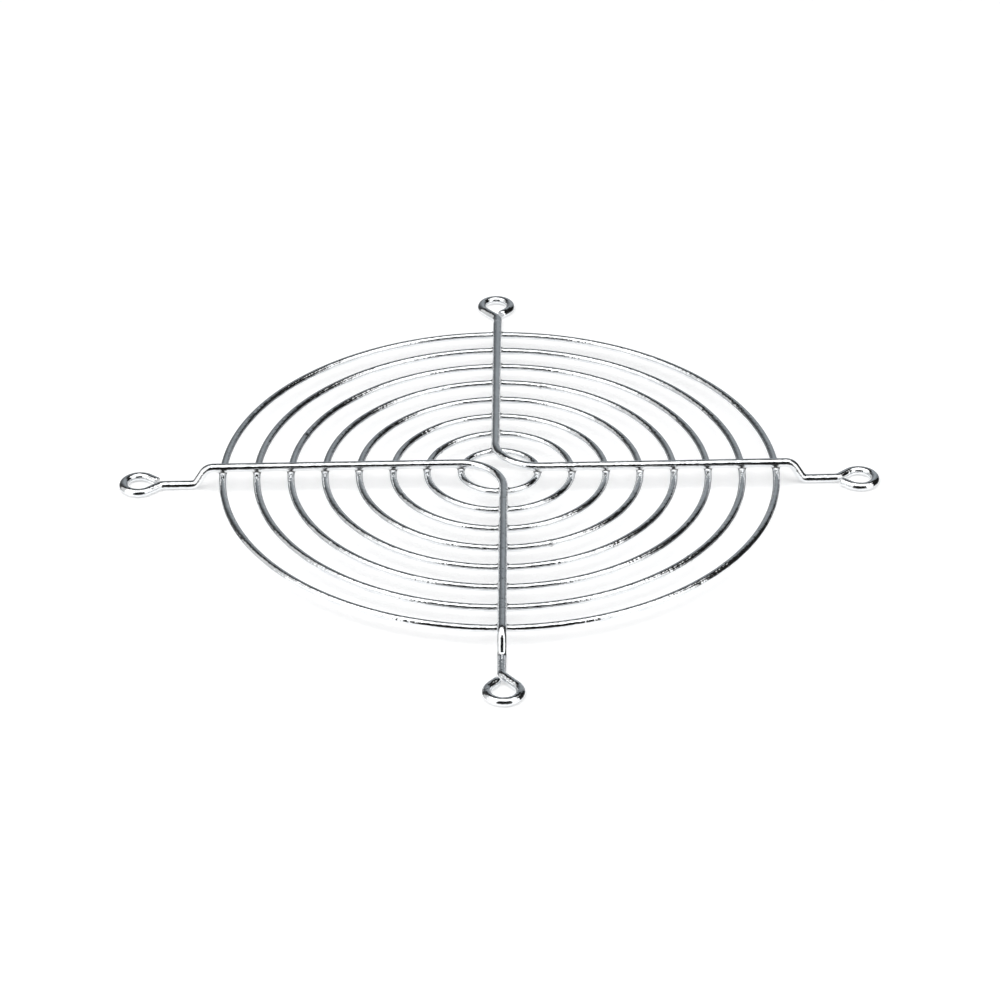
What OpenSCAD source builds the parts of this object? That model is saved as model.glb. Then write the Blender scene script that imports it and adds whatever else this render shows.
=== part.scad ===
// Wire fan guard for a 120 mm axial fan.
// Eight concentric round-wire rings lie in one plane. Two bent ribs are welded across
// them. Each rib starts at a screw eye, climbs a step to the level of the rings, crosses
// them to the middle, turns a quarter circle and goes back out to the next eye.
// The eyes lie on the fan's corners and the step keeps the rings clear of the blades.
// Origin: centre of the rings, on the fan's mounting face. The arms lie along X and Y.

/* [Fan] */
// Side of the square of screw holes in the fan
hole_spacing = 105; // [103:0.5:110]

/* [Wire] */
// Diameter of the ring wire
ring_wire_d = 1.5; // [1.3:0.1:1.7]
// Diameter of the rib wire
rib_wire_d = 1.8; // [1.6:0.1:2]

/* [Rings] */
// Diameter over the outside of the largest ring
rings_outer_d = 115.2; // [109:0.2:117]
// Clear diameter inside the smallest ring
rings_inner_d = 14.3; // [14:0.1:17]

/* [Ribs] */
// Height from the fan's face to the top of the ribs
guard_h = 5.8; // [5.4:0.1:7]
// How far each rib is pressed into a ring by the weld
weld_depth = 0.1; // [0.1:0.05:0.3]
// Centreline radius of the quarter bend near the middle
middle_bend_r = 9; // [7:0.5:11]
// Distance of each rib's corner past the centre lines
corner_offset = 0.9; // [0.5:0.1:1.2]
// Level run of the rib past the outside of the largest ring
step_run = 1.2; // [0.5:0.1:2]
// Steepness of the step down to the eye, in degrees
step_angle = 58; // [50:1:62]
// Centreline radius of the bend at the top of the step
step_top_r = 2.4; // [1.8:0.1:2.6]
// Centreline radius of the bend at the foot of the step
step_foot_r = 1.6; // [1.4:0.1:1.8]

/* [Screw eyes] */
// Clear hole inside each eye
eye_hole_d = 4.6; // [4.3:0.1:5.2]
// Distance of each eye's centre from the line of its arm
eye_set = 0.4; // [0:0.1:0.6]
// Angle at which the wire leaves the neck to form the eye, in degrees
eye_flare = 40; // [36:1:44]
// Centreline radius of the bend where the neck opens into the eye
neck_bend_r = 2; // [1.4:0.1:2.4]
// Gap between the wire's cut end and the neck it returns to
eye_gap = 0.5; // [0.3:0.1:1]
// Chamfer round the cut ends of the rib wire
end_chamfer = 0.2; // [0.1:0.05:0.3]
// How much thinner the wire is in a bend, where it has stretched
draw_down = 0.01; // [0.008:0.002:0.03]

/* [Hidden] */
$fn = 48;
RING_COUNT = 8;
RING_COLOR = [0.76, 0.78, 0.79];
RIB_COLOR = [0.83, 0.84, 0.85];

// centreline radii of the rings, evenly spaced from the smallest to the largest
ring_r_min = (rings_inner_d + ring_wire_d) / 2;
ring_r_max = (rings_outer_d - ring_wire_d) / 2;
ring_pitch = (ring_r_max - ring_r_min) / (RING_COUNT - 1);

// heights of the wire centrelines over the fan's face
eye_z = rib_wire_d / 2;
rib_z = guard_h - rib_wire_d / 2;
ring_z = rib_z - (rib_wire_d + ring_wire_d) / 2 + weld_depth;

// plan of one arm: a straight line from the rib's corner that passes beside the eye's centre
eye_reach = hole_spacing / sqrt(2);
corner_reach = norm([eye_reach + corner_offset, corner_offset]);
arm_len = sqrt(corner_reach ^ 2 - eye_set ^ 2);
arm_skew = atan(corner_offset / (eye_reach + corner_offset)) + asin(eye_set / corner_reach);
middle_turn = 90 + 2 * arm_skew;
middle_tangent = middle_bend_r * tan(middle_turn / 2);

// step, seen from the side
step_start = rings_outer_d / 2 + step_run + corner_offset;
step_radii = step_top_r + step_foot_r;
step_slant = (rib_z - eye_z - step_radii * (1 - cos(step_angle))) / sin(step_angle);
step_span = step_radii * sin(step_angle) + step_slant * cos(step_angle);

// eye, seen from above: a circle and the two lines that touch it and meet at the neck
eye_r = (eye_hole_d + rib_wire_d) / 2;
eye_neck = eye_r / sin(eye_flare);
eye_side = eye_neck * cos(eye_flare);
eye_end = (eye_gap + rib_wire_d * cos(eye_flare) ^ 2) / sin(2 * eye_flare);
neck_tangent = neck_bend_r * tan(eye_flare / 2);
set_side = eye_set / sin(eye_flare);
set_neck = eye_set / tan(eye_flare);

// straight lengths of wire between the bends
end_len = eye_side - eye_end;
side_len = eye_side - neck_tangent;
neck_len = arm_len - eye_neck - neck_tangent - step_start - step_span;
level_len = step_start - middle_tangent;

// length by which a bend runs into the straight wire at each end
bend_lap = 0.05;

// direction of a bend, as [left, up] across the wire as it is fed
LEFT = [1, 0];
UP = [0, 1];
RIGHT = [-1, 0];
DOWN = [0, -1];

// Bending list of a rib, from one cut end to the other. Each row is the length fed,
// then the direction, the angle and the centreline radius of the bend that follows.
RIB_BENDS = [
    [end_len, LEFT, 180 + 2 * eye_flare, eye_r],
    [side_len - set_side, RIGHT, eye_flare, neck_bend_r],
    [neck_len + set_neck, UP, step_angle, step_foot_r],
    [step_slant, DOWN, step_angle, step_top_r],
    [level_len, RIGHT, middle_turn, middle_bend_r],
    [level_len, DOWN, step_angle, step_top_r],
    [step_slant, UP, step_angle, step_foot_r],
    [neck_len - set_neck, LEFT, eye_flare, neck_bend_r],
    [side_len + set_side, RIGHT, 180 + 2 * eye_flare, eye_r],
    [end_len, LEFT, 0, 0]
];

// The part of that list that lies across the rings
LEVEL_BENDS = [
    [level_len, RIGHT, middle_turn, middle_bend_r],
    [level_len, RIGHT, 0, 0]
];

// Turns the wire's own frame (fed along Z, left is X) to start along X, with up as Z.
module fed_along_x() {
    rotate([90, 0, 90]) children();
}

// One bend: the wire comes in along Z and curves towards X. It draws down slightly as it
// stretches, and runs a little way into the straight lengths before and after it.
module bend(angle, r, d) {
    lap = bend_lap / r * 180 / PI;
    translate([r, 0, 0])
        rotate([90, 0, 180])
            rotate_extrude(angle = angle + 2 * lap, start = -lap, $fn = 96)
                translate([r, 0]) circle(d = d - draw_down);
}

// A straight length, with its first or last edge chamfered where the wire is cut.
module straight(length, d, first = false, last = false) {
    c1 = first ? end_chamfer : 0;
    c2 = last ? end_chamfer : 0;
    rotate_extrude()
        polygon(concat(
            [[0, 0], [d / 2 - c1, 0]],
            first ? [[d / 2, c1]] : [],
            last ? [[d / 2, length - c2]] : [],
            [[d / 2 - c2, length], [0, length]]
        ));
}

// Wire fed and bent row by row, each row starting in the frame that the last one left.
module bent_wire(rows, d, i = 0) {
    length = rows[i][0];
    turn = atan2(rows[i][1][1], rows[i][1][0]);
    angle = rows[i][2];
    r = rows[i][3];
    last = i == len(rows) - 1;
    straight(length, d, first = i == 0, last = last);
    if (!last)
        translate([0, 0, length])
            rotate(turn) {
                bend(angle, r, d);
                translate([r * (1 - cos(angle)), 0, r * sin(angle)])
                    rotate([0, angle, 0])
                        rotate(-turn)
                            bent_wire(rows, d, i + 1);
            }
}

// The whole rib wire, from the left eye round the middle to the front eye.
module rib() {
    translate([-eye_reach, 0, eye_z])
        rotate(arm_skew)
            translate([eye_neck - eye_end * cos(eye_flare), eye_end * sin(eye_flare), 0])
                rotate(180 - eye_flare)
                    fed_along_x() bent_wire(RIB_BENDS, rib_wire_d);
}

// The level part of the rib, where it lies across the rings.
module rib_level() {
    translate([corner_offset, corner_offset, rib_z])
        rotate(arm_skew)
            translate([-step_start, 0, 0])
                fed_along_x() bent_wire(LEVEL_BENDS, rib_wire_d);
}

// A closed hoop of wire, with a shallow seat where each arm of the two ribs is welded in.
module ring(i) {
    color(RING_COLOR)
        difference() {
            translate([0, 0, ring_z])
                rotate_extrude($fn = 180)
                    translate([ring_r_min + (i - 1) * ring_pitch, 0])
                        circle(d = ring_wire_d);
            rib_level();
            rotate(180) rib_level();
        }
}

module ring_1() { ring(1); }
module ring_2() { ring(2); }
module ring_3() { ring(3); }
module ring_4() { ring(4); }
module ring_5() { ring(5); }
module ring_6() { ring(6); }
module ring_7() { ring(7); }
module ring_8() { ring(8); }

// Rib from the left eye to the front eye.
module rib_front_left() {
    color(RIB_COLOR) rib();
}

// The same rib turned half round, from the right eye to the back eye.
module rib_back_right() {
    color(RIB_COLOR) rotate(180) rib();
}

ring_1();
ring_2();
ring_3();
ring_4();
ring_5();
ring_6();
ring_7();
ring_8();
rib_front_left();
rib_back_right();
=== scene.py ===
# Wire fan guard: eight concentric wire rings, spot welded under two bent rib wires that
# pass each other in the middle and end in four screw eyes. Bright plated steel wire.
import math

import bpy
import numpy as np
from mathutils import Matrix, Vector, noise


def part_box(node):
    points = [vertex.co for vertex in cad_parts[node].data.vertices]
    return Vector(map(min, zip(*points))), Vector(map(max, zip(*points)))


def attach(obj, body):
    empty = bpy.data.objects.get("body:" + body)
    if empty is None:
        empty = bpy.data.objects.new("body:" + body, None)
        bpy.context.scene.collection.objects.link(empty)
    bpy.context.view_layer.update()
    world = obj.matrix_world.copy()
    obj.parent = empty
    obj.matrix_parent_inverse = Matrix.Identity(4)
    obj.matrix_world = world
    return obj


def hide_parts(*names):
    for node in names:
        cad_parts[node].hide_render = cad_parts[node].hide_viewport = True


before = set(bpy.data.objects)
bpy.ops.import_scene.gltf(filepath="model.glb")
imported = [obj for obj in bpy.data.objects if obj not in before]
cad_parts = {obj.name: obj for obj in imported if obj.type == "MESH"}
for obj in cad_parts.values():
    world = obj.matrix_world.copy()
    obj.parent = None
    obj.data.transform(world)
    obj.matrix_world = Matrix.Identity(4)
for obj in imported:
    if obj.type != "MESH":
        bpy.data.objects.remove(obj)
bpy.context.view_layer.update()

# ---------------------------------------------------------------------------
# Ribs
# Two lengths of hard-drawn steel wire under bright plating, each bent round at the
# middle and stepped down to two screw eyes that lie flat on the fan. Every ring is
# spot welded to their underside; the ends were sheared and lightly chamfered.
# ---------------------------------------------------------------------------

MM = 0.001
WIRE_SIDES = 40
RING_COUNT = 8

rib_low, rib_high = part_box("rib_front_left")
ring_low, ring_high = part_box("ring_8")
rib_wire_r = 0.9 * MM
rib_z = rib_high.z - rib_wire_r
eye_z = rib_low.z + rib_wire_r
eye_reach = 148.492 / 2 * MM
eye_hole_r = 2.3 * MM
eye_set = 0.4 * MM
eye_gap = 0.5 * MM
eye_flare = math.radians(40)
neck_bend_r = 2.0 * MM
corner_offset = 0.9 * MM
middle_bend_r = 9.0 * MM
step_run = 1.2 * MM
step_angle = math.radians(58)
step_top_r = 2.4 * MM
step_foot_r = 1.6 * MM
end_chamfer = 0.2 * MM
weld_fillet = 1.0 * MM
weld_reach = 2.4 * MM
weld_ripple = 0.05 * MM
rib_ripple_size = 0.55 * MM

ring_wire_r = (ring_high.z - ring_low.z) / 2
ring_z = (ring_high.z + ring_low.z) / 2
ring_radii = []
for number in range(1, RING_COUNT + 1):
    low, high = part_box("ring_%d" % number)
    ring_radii.append((high.x - low.x) / 2 - ring_wire_r)
ring_radii = np.array(ring_radii)

corner_reach = math.hypot(eye_reach + corner_offset, corner_offset)
arm_len = math.sqrt(corner_reach**2 - eye_set**2)
arm_skew = math.atan2(corner_offset, eye_reach + corner_offset) + math.asin(eye_set / corner_reach)
middle_turn = math.pi / 2 + 2 * arm_skew
middle_tangent = middle_bend_r * math.tan(middle_turn / 2)
step_start = ring_radii[-1] + ring_wire_r + step_run + corner_offset
step_radii = step_top_r + step_foot_r
step_slant = (rib_z - eye_z - step_radii * (1 - math.cos(step_angle))) / math.sin(step_angle)
step_span = step_radii * math.sin(step_angle) + step_slant * math.cos(step_angle)
eye_r = eye_hole_r + rib_wire_r
eye_neck = eye_r / math.sin(eye_flare)
eye_side = eye_neck * math.cos(eye_flare)
eye_end = (eye_gap + 2 * rib_wire_r * math.cos(eye_flare) ** 2) / math.sin(2 * eye_flare)
neck_tangent = neck_bend_r * math.tan(eye_flare / 2)
set_side = eye_set / math.sin(eye_flare)
set_neck = eye_set / math.tan(eye_flare)
end_len = eye_side - eye_end
side_len = eye_side - neck_tangent
neck_len = arm_len - eye_neck - neck_tangent - step_start - step_span
level_len = step_start - middle_tangent

# The ways a bend can turn, as angles round the wire
LEFT = 0
UP = math.pi / 2
RIGHT = math.pi
DOWN = 3 * math.pi / 2

# Each row: straight length, side the bend turns to, angle of the bend, its radius
rib_bends = [
    (end_len, LEFT, math.pi + 2 * eye_flare, eye_r),
    (side_len - set_side, RIGHT, eye_flare, neck_bend_r),
    (neck_len + set_neck, UP, step_angle, step_foot_r),
    (step_slant, DOWN, step_angle, step_top_r),
    (level_len, RIGHT, middle_turn, middle_bend_r),
    (level_len, DOWN, step_angle, step_top_r),
    (step_slant, UP, step_angle, step_foot_r),
    (neck_len - set_neck, LEFT, eye_flare, neck_bend_r),
    (side_len + set_side, RIGHT, math.pi + 2 * eye_flare, eye_r),
    (end_len, LEFT, 0, 0),
]

# Wires are drawn at a fine pitch, then thinned out to these longest steps
line_pitch = 0.05 * MM
straight_step = 0.7 * MM
weld_step = 0.12 * MM
bend_step_share = 0.06


def bend_wire(start, heading, left, rows):
    """Centre line of a bent wire, and how long a step may be at each of its points."""
    place = np.array(start, float)
    heading = np.array(heading, float)
    left = np.array(left, float)
    line = [place.copy()]
    longest = [straight_step]
    for length, turn, angle, radius in rows:
        up = np.cross(heading, left)
        count = max(2, int(math.ceil(length / line_pitch)))
        for i in range(1, count + 1):
            line.append(place + heading * length * i / count)
            longest.append(straight_step)
        place = line[-1].copy()
        if angle > 0:
            toward = left * math.cos(turn) + up * math.sin(turn)
            axis = np.cross(heading, toward)
            count = int(math.ceil(angle * radius / line_pitch))
            for i in range(1, count + 1):
                t = angle * i / count
                ahead = heading * radius * math.sin(t)
                aside = toward * radius * (1 - math.cos(t))
                line.append(place + ahead + aside)
                longest.append(bend_step_share * radius)
            place = line[-1].copy()
            spin = np.array(Matrix.Rotation(angle, 3, Vector(axis)))
            heading = spin @ heading
            left = spin @ left
    return np.array(line), np.array(longest)


def thin_out(line, longest, first):
    """Points to keep: the first few as they are, then one per longest allowed step."""
    keep = list(range(first))
    run = 0
    for i in range(first, len(line)):
        run += np.linalg.norm(line[i] - line[i - 1])
        if run >= longest[i] or i == len(line) - 1:
            keep.append(i)
            run = 0
    return keep


def wire_frames(points, closed):
    """Unit vectors out of the wire at each of its points, WIRE_SIDES of them round it."""
    if closed:
        ahead = np.roll(points, -1, axis=0) - np.roll(points, 1, axis=0)
    else:
        ahead = np.empty_like(points)
        ahead[1:-1] = points[2:] - points[:-2]
        ahead[0] = points[1] - points[0]
        ahead[-1] = points[-1] - points[-2]
    ahead /= np.linalg.norm(ahead, axis=1)[:, None]
    side = np.cross(ahead[0], [0, 0, 1])
    sides = []
    for tangent in ahead:
        side = side - tangent * (side @ tangent)
        side /= np.linalg.norm(side)
        sides.append(side.copy())
    sides = np.array(sides)
    tops = np.cross(sides, ahead)
    turn = np.linspace(0, 2 * np.pi, WIRE_SIDES, endpoint=False) - np.pi / 2
    across = np.cos(turn)[None, :, None]
    upward = np.sin(turn)[None, :, None]
    return sides[:, None, :] * across + tops[:, None, :] * upward


def gap_to_rings(places):
    """Clear distance from each place to the nearest ring's wire."""
    level = np.hypot(places[:, 0], places[:, 1])[:, None] - ring_radii[None, :]
    return np.hypot(level, (places[:, 2] - ring_z)[:, None]).min(axis=1) - ring_wire_r


def gap_to_line(places, line, wire_r):
    """Clear distance from each place to a wire along the line."""
    way = line[1:] - line[:-1]
    rel = places[:, None, :] - line[None, :-1]
    share = np.clip((rel * way).sum(-1) / (way * way).sum(-1), 0, 1)
    return np.linalg.norm(rel - share[..., None] * way, axis=-1).min(axis=1) - wire_r


def weld_surface(centres, outward, wire_r, gap_to_other):
    """How far out the wire's half of a weld reaches, and how much of it is fillet."""
    halvings = 16
    low = np.zeros(len(centres))
    high = np.full(len(centres), wire_r + weld_fillet)
    for halving in range(halvings):
        mid = (low + high) / 2
        own = mid - wire_r
        other = gap_to_other(centres + outward * mid[:, None])
        overlap = np.maximum(weld_fillet - np.abs(own - other), 0)
        inside = (np.minimum(own, other) - overlap**2 / (4 * weld_fillet) < 0) & (own < other)
        low = np.where(inside, mid, low)
        high = np.where(inside, high, mid)
    return low, (overlap / weld_fillet) ** 2


def add_weld(radii, weld, rows, line, outward, wire_r, ripple_size, gap_to_other):
    """Swells the wire at these rows to its half of a weld, lightly rippled."""
    centres = np.repeat(line[rows], WIRE_SIDES, axis=0)
    out = outward[rows].reshape(-1, 3)
    reach, fillet = weld_surface(centres, out, wire_r, gap_to_other)
    ripple = [noise.noise(Vector(c + o * wire_r) / ripple_size) for c, o in zip(centres, out)]
    radii[rows] = (reach + weld_ripple * np.array(ripple) * fillet).reshape(-1, WIRE_SIDES)
    weld[rows] = fillet.reshape(-1, WIRE_SIDES)


def wire_object(name, points, outward, radii, weld, closed, material):
    """Wire as a mesh, with its draw lines and its welds as attributes for the material."""
    drawn_along = 0.35
    drawn_round = 9
    count = len(points)
    verts = points[:, None, :] + outward * radii[..., None]
    steps = np.linalg.norm(np.diff(points, axis=0), axis=1)
    if closed:
        steps = np.append(steps, np.linalg.norm(points[0] - points[-1]))
    along = np.concatenate([[0], np.cumsum(steps)])
    turn = np.linspace(0, 2 * np.pi, WIRE_SIDES, endpoint=False)
    faces = []
    uvs = []
    for i in range(count if closed else count - 1):
        here = i * WIRE_SIDES
        there = (i + 1) % count * WIRE_SIDES
        for k in range(WIRE_SIDES):
            m = (k + 1) % WIRE_SIDES
            faces.append((here + k, here + m, there + m, there + k))
            across = (k / WIRE_SIDES, (k + 1) / WIRE_SIDES)
            uvs += [(along[i], across[0]), (along[i], across[1])]
            uvs += [(along[i + 1], across[1]), (along[i + 1], across[0])]
    smooth = [True] * len(faces)
    if not closed:
        last = (count - 1) * WIRE_SIDES
        faces.append(tuple(range(WIRE_SIDES - 1, -1, -1)))
        faces.append(tuple(range(last, last + WIRE_SIDES)))
        smooth += [False, False]
        rim = 0.5 + 0.5 * np.stack([np.cos(turn), np.sin(turn)], -1)
        uvs += [tuple(p) for p in rim[::-1]] + [tuple(p) for p in rim]
    mesh = bpy.data.meshes.new(name)
    mesh.from_pydata([tuple(v) for v in verts.reshape(-1, 3)], [], faces)
    layer = mesh.uv_layers.new(name="UVMap")
    layer.data.foreach_set("uv", np.array(uvs, np.float32).ravel())
    mesh.polygons.foreach_set("use_smooth", smooth)
    drawn = np.empty((count, WIRE_SIDES, 3), np.float32)
    drawn[..., 0] = (along[:count] / MM * drawn_along)[:, None]
    drawn[..., 1] = np.cos(turn) * drawn_round
    drawn[..., 2] = np.sin(turn) * drawn_round
    drawn_layer = mesh.attributes.new("drawn", "FLOAT_VECTOR", "POINT")
    drawn_layer.data.foreach_set("vector", drawn.ravel())
    weld_layer = mesh.attributes.new("weld", "FLOAT", "POINT")
    weld_layer.data.foreach_set("value", np.asarray(weld, np.float32).ravel())
    mesh.materials.append(material)
    mesh.update()
    obj = bpy.data.objects.new(name, mesh)
    bpy.context.scene.collection.objects.link(obj)
    return obj


def plated_wire(name, bright, dull, seed):
    """Bright plated drawn wire: lines along it, cloudy plating, pits, and tinted welds."""
    worn = (0.56, 0.57, 0.57, 1)
    pitted = (0.3, 0.28, 0.26, 1)
    scorched = (0.16, 0.155, 0.15, 1)
    material = bpy.data.materials.new(name)
    material.use_nodes = True
    nodes = material.node_tree.nodes
    links = material.node_tree.links
    shader = nodes["Principled BSDF"]
    shader.inputs["Metallic"].default_value = 1.0

    def noise_field(vector, scale, detail):
        field = nodes.new("ShaderNodeTexNoise")
        field.noise_dimensions = "4D"
        field.inputs["W"].default_value = seed
        field.inputs["Scale"].default_value = scale
        field.inputs["Detail"].default_value = detail
        links.new(vector, field.inputs["Vector"])
        return field.outputs["Fac"]

    def spread(value, between, to=(0, 1)):
        ranged = nodes.new("ShaderNodeMapRange")
        for socket, limit in zip(ranged.inputs[1:5], (*between, *to)):
            socket.default_value = limit
        links.new(value, ranged.inputs["Value"])
        return ranged.outputs["Result"]

    def combine(kind, one, two):
        step = nodes.new("ShaderNodeMath")
        step.operation = kind
        links.new(one, step.inputs[0])
        if hasattr(two, "is_output"):
            links.new(two, step.inputs[1])
        else:
            step.inputs[1].default_value = two
        return step.outputs[0]

    def blend(amount, one, two):
        mix = nodes.new("ShaderNodeMix")
        mix.data_type = "RGBA"
        links.new(amount, mix.inputs["Factor"])
        for socket, colour in ((mix.inputs["A"], one), (mix.inputs["B"], two)):
            if hasattr(colour, "is_output"):
                links.new(colour, socket)
            else:
                socket.default_value = colour
        return mix.outputs["Result"]

    drawn = nodes.new("ShaderNodeAttribute")
    drawn.attribute_name = "drawn"
    weld = nodes.new("ShaderNodeAttribute")
    weld.attribute_name = "weld"
    place = nodes.new("ShaderNodeTexCoord")
    lines = noise_field(drawn.outputs["Vector"], scale=1.0, detail=5)
    nicks = noise_field(drawn.outputs["Vector"], scale=3.4, detail=2)
    nicks = spread(nicks, between=(0.66, 0.74))
    clouds = noise_field(place.outputs["Object"], scale=260, detail=4)
    pits = noise_field(place.outputs["Object"], scale=3800, detail=1)
    pits = spread(pits, between=(0.7, 0.78))
    waves = noise_field(place.outputs["Object"], scale=420, detail=1)
    dimples = noise_field(place.outputs["Object"], scale=1500, detail=1)
    mottle = spread(clouds, between=(0.35, 0.6), to=(0.45, 1))
    burnt = combine("MULTIPLY", weld.outputs["Fac"], mottle)

    colour = blend(spread(clouds, between=(0.35, 0.7)), bright, dull)
    colour = blend(spread(lines, between=(0.5, 0.75), to=(0, 0.35)), colour, worn)
    for mark, share, tint in ((pits, 0.5, pitted), (burnt, 0.9, scorched)):
        colour = blend(combine("MULTIPLY", mark, share), colour, tint)
    links.new(colour, shader.inputs["Base Color"])

    rough_lines = spread(lines, between=(0.35, 0.7), to=(0.05, 0.13))
    rough_clouds = spread(clouds, between=(0.4, 0.7), to=(0, 0.07))
    rough = combine("ADD", rough_lines, rough_clouds)
    for mark, share in ((nicks, 0.12), (pits, 0.2), (burnt, 0.18)):
        rough = combine("ADD", rough, combine("MULTIPLY", mark, share))
    links.new(rough, shader.inputs["Roughness"])

    height = combine("MULTIPLY", lines, 0.10)
    for mark, share in ((waves, 8), (dimples, 4)):
        height = combine("ADD", height, combine("MULTIPLY", mark, share))
    for mark, share in ((nicks, 0.12), (pits, 0.2)):
        height = combine("SUBTRACT", height, combine("MULTIPLY", mark, share))
    bump = nodes.new("ShaderNodeBump")
    bump.inputs["Strength"].default_value = 0.8
    bump.inputs["Distance"].default_value = 0.02 * MM
    links.new(height, bump.inputs["Height"])
    links.new(bump.outputs["Normal"], shader.inputs["Normal"])
    return material


arm_way = np.array([math.cos(arm_skew), math.sin(arm_skew), 0])
arm_left = np.array([-math.sin(arm_skew), math.cos(arm_skew), 0])
cut_end = (
    np.array([-eye_reach, 0, eye_z])
    + arm_way * (eye_neck - eye_end * math.cos(eye_flare))
    + arm_left * eye_end * math.sin(eye_flare)
)
end_turn = math.pi - eye_flare
end_heading = arm_way * math.cos(end_turn) + arm_left * math.sin(end_turn)
end_left = -arm_way * math.sin(end_turn) + arm_left * math.cos(end_turn)
rib_line, rib_steps = bend_wire(cut_end, end_heading, end_left, rib_bends)

# Where the level part of the rib passes over each ring
level_slack = 0.1 * MM
rib_out = np.hypot(rib_line[:, 0], rib_line[:, 1])
rib_welds = []
for number, radius in enumerate(ring_radii, 1):
    over = np.nonzero(np.diff(np.sign(rib_out - radius)))[0]
    rib_welds += [(number, i) for i in over if abs(rib_line[i, 2] - rib_z) < level_slack]
to_weld = np.full(len(rib_line), 1.0)
for number, i in rib_welds:
    to_weld = np.minimum(to_weld, np.linalg.norm(rib_line - rib_line[i], axis=1))
rib_steps = np.where(to_weld < weld_reach, weld_step, rib_steps)

rib_metal = plated_wire("rib_wire_metal", (0.9, 0.91, 0.92, 1), (0.78, 0.8, 0.82, 1), 1.3)
chamfer_rows = 6

for node, turned in (("rib_front_left", 1), ("rib_back_right", -1)):
    kept = thin_out(rib_line, rib_steps, chamfer_rows)
    line = rib_line[kept] * np.array([turned, turned, 1])
    rows = np.nonzero(to_weld[kept] < weld_reach)[0]
    run = np.concatenate([[0], np.cumsum(np.linalg.norm(np.diff(line, axis=0), axis=1))])
    from_end = np.minimum(run, run[-1] - run)
    outward = wire_frames(line, False)
    slim = np.maximum(end_chamfer - from_end, 0)
    radii = np.repeat((rib_wire_r - slim)[:, None], WIRE_SIDES, axis=1)
    weld = np.zeros_like(radii)
    add_weld(radii, weld, rows, line, outward, rib_wire_r, rib_ripple_size, gap_to_rings)
    rib = wire_object(node.replace("rib_", "bent_"), line, outward, radii, weld, False, rib_metal)
    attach(rib, "root")
    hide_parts(node)

# ---------------------------------------------------------------------------
# Rings
# Eight closed hoops of the same wire in a thinner size, butt welded end to end and
# welded under both ribs at four places, where each ring is seated a little in them.
# ---------------------------------------------------------------------------

seam_degrees = [24, 147, 205, 290, 75, 160, 318, 321]
seam_swell = 0.04 * MM
seam_width = 0.35 * MM
seam_tint = 0.6
hoop_step = 0.9 * MM
ring_ripple_size = 0.45 * MM
ring_metal = plated_wire("ring_wire_metal", (0.9, 0.91, 0.92, 1), (0.76, 0.78, 0.8, 1), 7.9)

# Stretch of rib that a weld is worked out from: its points each way, every fourth used
rib_part_half = 64
rib_part_every = 4


def way_round(angles, at, radius):
    """Shorter way round a ring, from each of its angles to the one at hand."""
    return np.abs((angles - at + np.pi) % (2 * np.pi) - np.pi) * radius


for number, radius in enumerate(ring_radii, 1):
    welds = []
    for turned in (1, -1):
        for ring, i in rib_welds:
            if ring == number:
                part = rib_line[max(0, i - rib_part_half) : i + rib_part_half + 1 : rib_part_every]
                at = math.atan2(rib_line[i, 1] * turned, rib_line[i, 0] * turned)
                welds.append((at, part * np.array([turned, turned, 1])))
    seam = math.radians(seam_degrees[number - 1])
    angles = seam + np.arange(0, 2 * np.pi, line_pitch / radius)
    level = np.full(len(angles), ring_z)
    line = np.stack([radius * np.cos(angles), radius * np.sin(angles), level], -1)
    steps = np.full(len(angles), min(hoop_step, bend_step_share * radius))
    for at in [seam] + [at for at, part in welds]:
        steps = np.where(way_round(angles, at, radius) < weld_reach, weld_step, steps)
    kept = thin_out(line, steps, 1)[:-1]
    line = line[kept]
    angles = angles[kept]
    outward = wire_frames(line, True)
    swell = seam_swell * np.exp(-((way_round(angles, seam, radius) / seam_width) ** 2))
    radii = np.repeat((ring_wire_r + swell)[:, None], WIRE_SIDES, axis=1)
    weld = np.repeat(seam_tint * swell[:, None] / seam_swell, WIRE_SIDES, axis=1)
    for at, part in welds:
        rows = np.nonzero(way_round(angles, at, radius) < weld_reach)[0]
        add_weld(
            radii, weld, rows, line, outward, ring_wire_r, ring_ripple_size,
            lambda places: gap_to_line(places, part, rib_wire_r),
        )
    hoop = wire_object("hoop_%d" % number, line, outward, radii, weld, True, ring_metal)
    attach(hoop, "root")
    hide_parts("ring_%d" % number)

# ---------------------------------------------------------------------------
# Studio
# White table under a broad soft light, with grey, white and black cards standing
# round it for the bright wire to mirror. None of it belongs to the guard.
# ---------------------------------------------------------------------------

scene = bpy.context.scene
card_away = 1.2
card_strips = 12


def wall_card(name, from_az, to_az, low_el, high_el, strength, tint=(1, 1, 1)):
    """Upright curved card; azimuth 0 is behind the guard and 90 is to its right."""
    verts = []
    for i in range(card_strips + 1):
        az = math.radians(from_az + (to_az - from_az) * i / card_strips)
        x = card_away * math.sin(az)
        y = card_away * math.cos(az)
        for el in (low_el, high_el):
            verts.append((x, y, card_away * math.tan(math.radians(el))))
    faces = [(2 * i, 2 * i + 2, 2 * i + 3, 2 * i + 1) for i in range(card_strips)]
    mesh = bpy.data.meshes.new(name)
    mesh.from_pydata(verts, [], faces)
    paint = bpy.data.materials.new(name + "_paint")
    paint.use_nodes = True
    nodes = paint.node_tree.nodes
    nodes.clear()
    glow = nodes.new("ShaderNodeEmission")
    glow.inputs["Color"].default_value = (*tint, 1)
    glow.inputs["Strength"].default_value = strength
    surface = nodes.new("ShaderNodeOutputMaterial")
    paint.node_tree.links.new(glow.outputs[0], surface.inputs["Surface"])
    mesh.materials.append(paint)
    card = bpy.data.objects.new(name, mesh)
    scene.collection.objects.link(card)
    card.visible_camera = False


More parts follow.
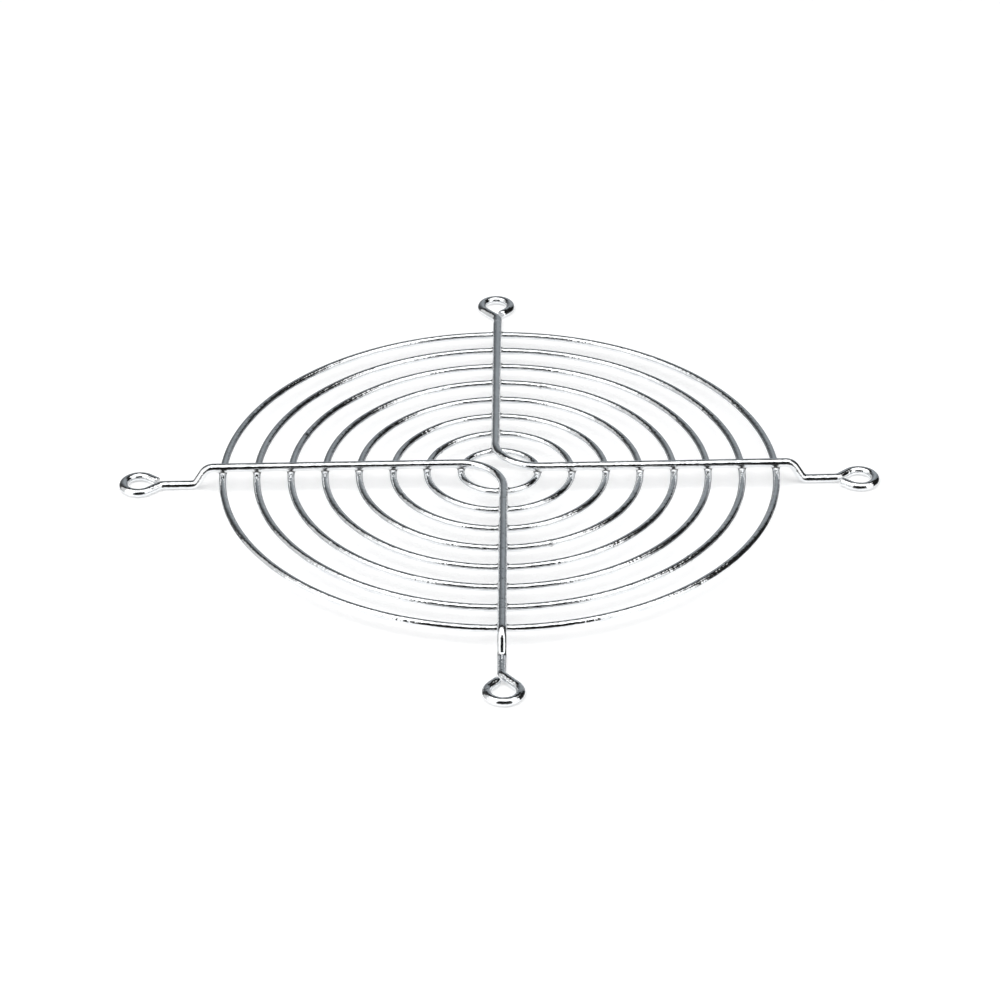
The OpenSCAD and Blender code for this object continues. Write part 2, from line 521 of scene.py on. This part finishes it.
# Each card: name, azimuths from and to, elevations from and to, brightness, tint
cool = (0.93, 1.0, 1.06)
wall_card("back_wall_1", -47, -35, 0, 41, 0.07, cool)
wall_card("back_wall_2", -35, -22, 0, 41, 0.14, cool)
wall_card("back_wall_3", -22, -8, 0, 41, 0.22, cool)
wall_card("back_wall_4", -8, 30, 0, 41, 0.33, cool)
wall_card("back_wall_5", 30, 46, 0, 41, 0.2, cool)
wall_card("back_flag", -50, 46, 41, 71, 0.01)
wall_card("black_flag", 46, 100, 0, 58, 0.01)
wall_card("right_light", 101, 144, 0, 52, 1.3)
wall_card("front_flag", 144, 216, 0, 48, 0.01)
wall_card("left_light", 216, 268, 0, 52, 1.3)
wall_card("left_side", 268, 294, 0, 50, 0.7)
wall_card("grey_flag", 294, 313, 0, 48, 0.05)

# The table is matt white to the camera. To every other ray it turns glossy at low
# angles, so that the wires' lower sides mirror the dark cards in it.
table_half = 3
table_white = (0.95, 0.95, 0.95, 1)
table_lift = 0.3
gloss_from = 0.40
gloss_full = 0.72
corners = [(x * table_half, y * table_half, 0) for x, y in ((-1, -1), (1, -1), (1, 1), (-1, 1))]
table_mesh = bpy.data.meshes.new("table")
table_mesh.from_pydata(corners, [], [(0, 1, 2, 3)])
table = bpy.data.objects.new("table", table_mesh)
scene.collection.objects.link(table)
table_paint = bpy.data.materials.new("table_paint")
table_paint.use_nodes = True
nodes = table_paint.node_tree.nodes
links = table_paint.node_tree.links
sheet = nodes["Principled BSDF"]
sheet.inputs["Base Color"].default_value = table_white
sheet.inputs["Roughness"].default_value = 0.9
sheet.inputs["Specular IOR Level"].default_value = 0.1
sheet.inputs["Emission Color"].default_value = (1, 1, 1, 1)
path = nodes.new("ShaderNodeLightPath")
seen = nodes.new("ShaderNodeMath")
seen.operation = "MAXIMUM"
links.new(path.outputs["Is Camera Ray"], seen.inputs[0])
links.new(path.outputs["Is Glossy Ray"], seen.inputs[1])
lift = nodes.new("ShaderNodeMath")
lift.operation = "MULTIPLY"
lift.inputs[1].default_value = table_lift
links.new(seen.outputs[0], lift.inputs[0])
links.new(lift.outputs[0], sheet.inputs["Emission Strength"])
facing = nodes.new("ShaderNodeLayerWeight")
facing.inputs["Blend"].default_value = 0.5
slant = nodes.new("ShaderNodeMapRange")
slant.inputs["From Min"].default_value = gloss_from
slant.inputs["From Max"].default_value = gloss_full
links.new(facing.outputs["Facing"], slant.inputs["Value"])
unseen = nodes.new("ShaderNodeMath")
unseen.operation = "SUBTRACT"
unseen.inputs[0].default_value = 1.0
links.new(path.outputs["Is Camera Ray"], unseen.inputs[1])
polish = nodes.new("ShaderNodeMath")
polish.operation = "MULTIPLY"
links.new(slant.outputs["Result"], polish.inputs[0])
links.new(unseen.outputs[0], polish.inputs[1])
gloss = nodes.new("ShaderNodeBsdfGlossy")
gloss.inputs["Color"].default_value = table_white
gloss.inputs["Roughness"].default_value = 0.12
top_coat = nodes.new("ShaderNodeMixShader")
links.new(polish.outputs[0], top_coat.inputs[0])
links.new(sheet.outputs[0], top_coat.inputs[1])
links.new(gloss.outputs[0], top_coat.inputs[2])
links.new(top_coat.outputs[0], nodes["Material Output"].inputs["Surface"])
table_mesh.materials.append(table_paint)

world = bpy.data.worlds.new("studio")
scene.world = world
world.use_nodes = True
nodes = world.node_tree.nodes
links = world.node_tree.links
nodes.clear()
sky = nodes.new("ShaderNodeBackground")
sky.inputs["Strength"].default_value = 0.5
white = nodes.new("ShaderNodeBackground")
white.inputs["Strength"].default_value = 1.0
path = nodes.new("ShaderNodeLightPath")
mix = nodes.new("ShaderNodeMixShader")
surround = nodes.new("ShaderNodeOutputWorld")
links.new(path.outputs["Is Camera Ray"], mix.inputs[0])
links.new(sky.outputs[0], mix.inputs[1])
links.new(white.outputs[0], mix.inputs[2])
links.new(mix.outputs[0], surround.inputs["Surface"])

lamp = bpy.data.lights.new("top_light", "AREA")
lamp.shape = "RECTANGLE"
lamp.size = 2.0
lamp.size_y = 1.35
lamp.energy = 11
top_light = bpy.data.objects.new("top_light", lamp)
top_light.location = (0, -0.3, 1.1)
scene.collection.objects.link(top_light)

# ---------------------------------------------------------------------------
# Camera
# A long lens that looks down at the guard from the front, a touch from its left and
# rolled a quarter of a degree, shifted so that the guard sits just above the middle.
# ---------------------------------------------------------------------------

view_az = math.radians(-0.459)
view_el = math.radians(32.08)
view_roll = math.radians(-0.249)
view_distance = 682.1 * MM

away = Vector((
    math.cos(view_el) * math.sin(view_az),
    -math.cos(view_el) * math.cos(view_az),
    math.sin(view_el),
))
right = Vector((math.cos(view_az), math.sin(view_az), 0))
up = away.cross(right)
x_axis = right * math.cos(view_roll) + up * math.sin(view_roll)
y_axis = up * math.cos(view_roll) - right * math.sin(view_roll)
camera_data = bpy.data.cameras.new("camera")
camera_data.sensor_width = 36
camera_data.lens = 119.016
camera_data.shift_x = 0.0004
camera_data.shift_y = -0.01467
camera = bpy.data.objects.new("camera", camera_data)
turn = Matrix((x_axis, y_axis, away)).transposed().to_4x4()
camera.matrix_world = Matrix.Translation(away * view_distance) @ turn
scene.collection.objects.link(camera)
scene.camera = camera
scene.view_settings.view_transform = "Standard"
